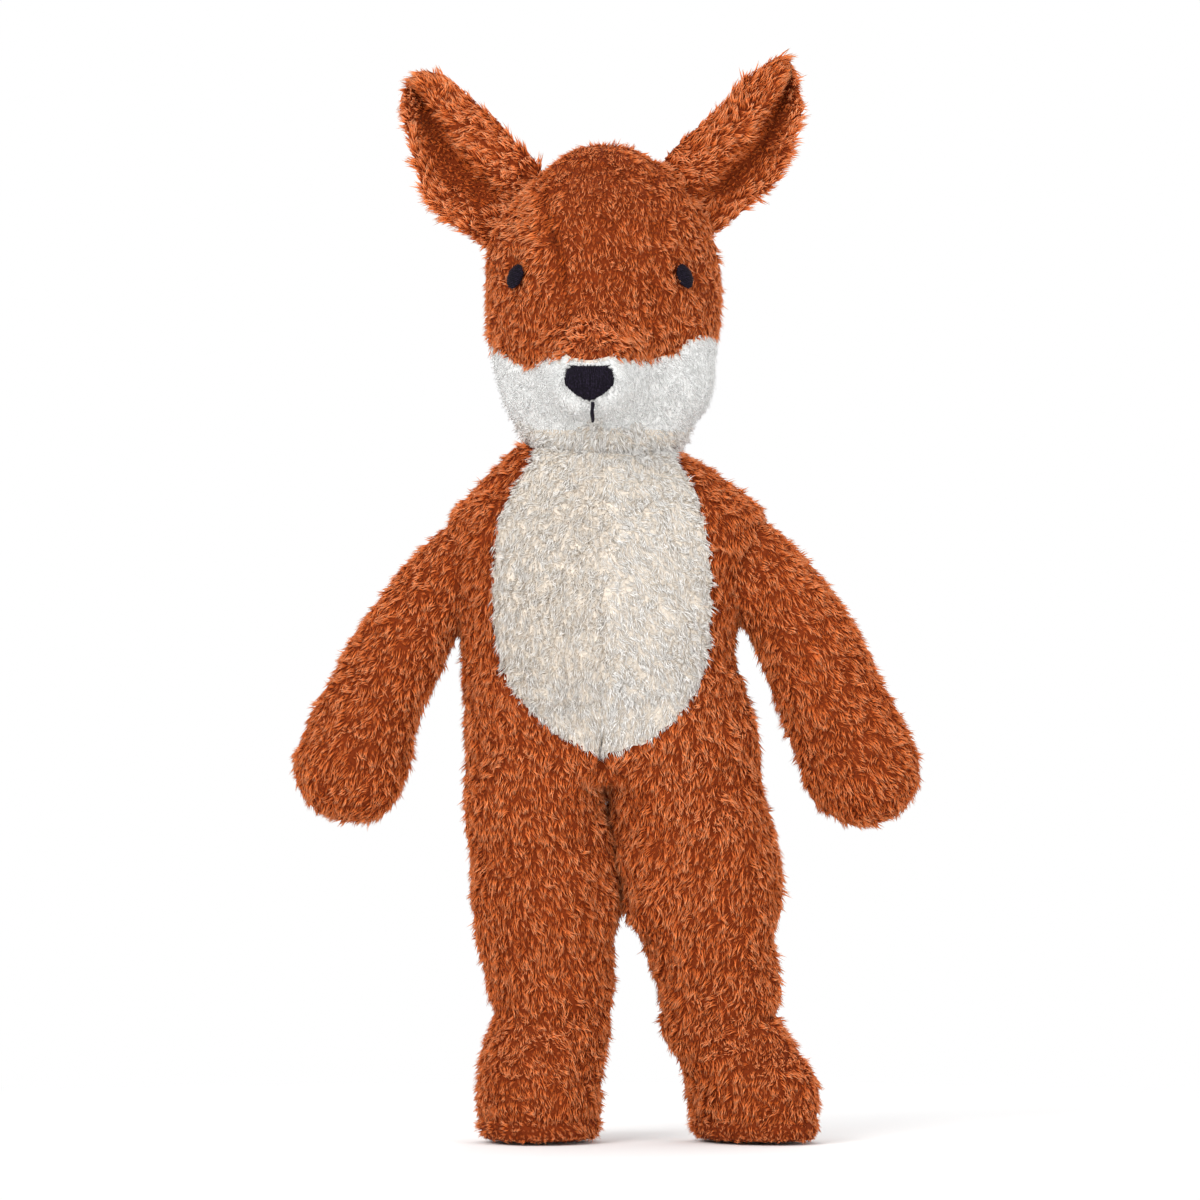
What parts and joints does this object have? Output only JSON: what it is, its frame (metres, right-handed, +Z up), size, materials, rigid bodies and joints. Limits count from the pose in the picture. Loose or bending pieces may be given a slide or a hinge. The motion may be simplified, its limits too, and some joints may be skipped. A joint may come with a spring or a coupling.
{
  "type": "plush fox",
  "caption": "Standing soft toy fox with rust pile, white cheeks, cream belly, embroidered face and a head, arms, legs, ears and tail that move.",
  "frame": {"origin": "on the ground under the middle of the toy's bounding box", "axes": "+Z up, the face looks along -Y, +X to the right as seen from the front"},
  "size_m": [0.2018, 0.1334, 0.3457],
  "materials": {
    "rust_pile": "curly short pile",
    "white_pile": "brushed short pile",
    "cream_pile": "longer curly pile",
    "embroidery_thread": "satin stitch",
    "stuffing": "loose fibre"
  },
  "bodies": {
    "torso": {"torso_stuffing": "stuffing", "belly_left": "cream_pile", "front_left": "rust_pile", "back_left": "rust_pile", "hip_gather_left": "rust_pile", "belly_tip_left": "cream_pile", "belly_right": "cream_pile", "front_right": "rust_pile", "back_right": "rust_pile", "hip_gather_right": "rust_pile", "belly_tip_right": "cream_pile"},
    "neck": {"neck_wadding": "stuffing", "neck_collar": "rust_pile"},
    "head": {"head_gusset": "rust_pile", "head_side_left": "rust_pile", "head_side_right": "rust_pile", "cheek_left": "white_pile", "cheek_right": "white_pile", "throat": "cream_pile", "eye_left": "embroidery_thread", "eye_right": "embroidery_thread", "nose": "embroidery_thread", "mouth": "embroidery_thread", "head_stuffing": "stuffing"},
    "ear_left": {"ear_front_left": "rust_pile", "ear_back_left": "rust_pile"},
    "ear_right": {"ear_front_right": "rust_pile", "ear_back_right": "rust_pile"},
    "tail": {"tail_brush": "rust_pile", "tail_tip": "white_pile", "tail_stuffing": "stuffing"},
    "shoulder_left": {"shoulder_wadding_left": "stuffing"},
    "arm_left": {"arm_front_left": "rust_pile", "arm_back_left": "rust_pile", "arm_stuffing_left": "stuffing"},
    "leg_left": {"leg_front_left": "rust_pile", "leg_back_left": "rust_pile", "foot_upper_left": "rust_pile", "sole_left": "rust_pile", "leg_stuffing_left": "stuffing"},
    "shoulder_right": {"shoulder_wadding_right": "stuffing"},
    "arm_right": {"arm_front_right": "rust_pile", "arm_back_right": "rust_pile", "arm_stuffing_right": "stuffing"},
    "leg_right": {"leg_front_right": "rust_pile", "leg_back_right": "rust_pile", "foot_upper_right": "rust_pile", "sole_right": "rust_pile", "leg_stuffing_right": "stuffing"}
  },
  "joints": [
    {"name": "neck_turn", "type": "hinge", "parent": "torso", "child": "neck", "pos_m": [0, 0, 0.215], "axis": [0, 0, 1], "range_deg": [-45, 45]},
    {"name": "head_nod", "type": "hinge", "parent": "neck", "child": "head", "pos_m": [0, 0, 0.206], "axis": [1, 0, 0], "range_deg": [-12, 12]},
    {"name": "shoulder_swing_left", "type": "hinge", "parent": "torso", "child": "shoulder_left", "pos_m": [-0.046, 0, 0.185], "axis": [-1, 0, 0], "range_deg": [-35, 60]},
    {"name": "shoulder_raise_left", "type": "hinge", "parent": "shoulder_left", "child": "arm_left", "pos_m": [-0.046, 0, 0.185], "axis": [0, 1, 0], "range_deg": [-4, 95]},
    {"name": "shoulder_swing_right", "type": "hinge", "parent": "torso", "child": "shoulder_right", "pos_m": [0.046, 0, 0.185], "axis": [-1, 0, 0], "range_deg": [-35, 60]},
    {"name": "shoulder_raise_right", "type": "hinge", "parent": "shoulder_right", "child": "arm_right", "pos_m": [0.046, 0, 0.185], "axis": [0, -1, 0], "range_deg": [-4, 95]},
    {"name": "hip_swing_left", "type": "hinge", "parent": "torso", "child": "leg_left", "pos_m": [0, 0, 0.122], "axis": [-1, 0, 0], "range_deg": [-15, 90], "deforming": ["hip_gather_left", "belly_tip_left"]},
    {"name": "hip_swing_right", "type": "hinge", "parent": "torso", "child": "leg_right", "pos_m": [0, 0, 0.122], "axis": [-1, 0, 0], "range_deg": [-15, 90], "deforming": ["hip_gather_right", "belly_tip_right"]},
    {"name": "ear_fold_left", "type": "hinge", "parent": "head", "child": "ear_left", "pos_m": [-0.0305, 0.004, 0.303], "axis": [0.5446, 0, 0.8387], "range_deg": [-20, 40]},
    {"name": "ear_fold_right", "type": "hinge", "parent": "head", "child": "ear_right", "pos_m": [0.0305, 0.004, 0.303], "axis": [0.5446, 0, -0.8387], "range_deg": [-20, 40]},
    {"name": "tail_lift", "type": "hinge", "parent": "torso", "child": "tail", "pos_m": [0, 0.031, 0.144], "axis": [1, 0, 0], "range_deg": [0, 65]}
  ]
}
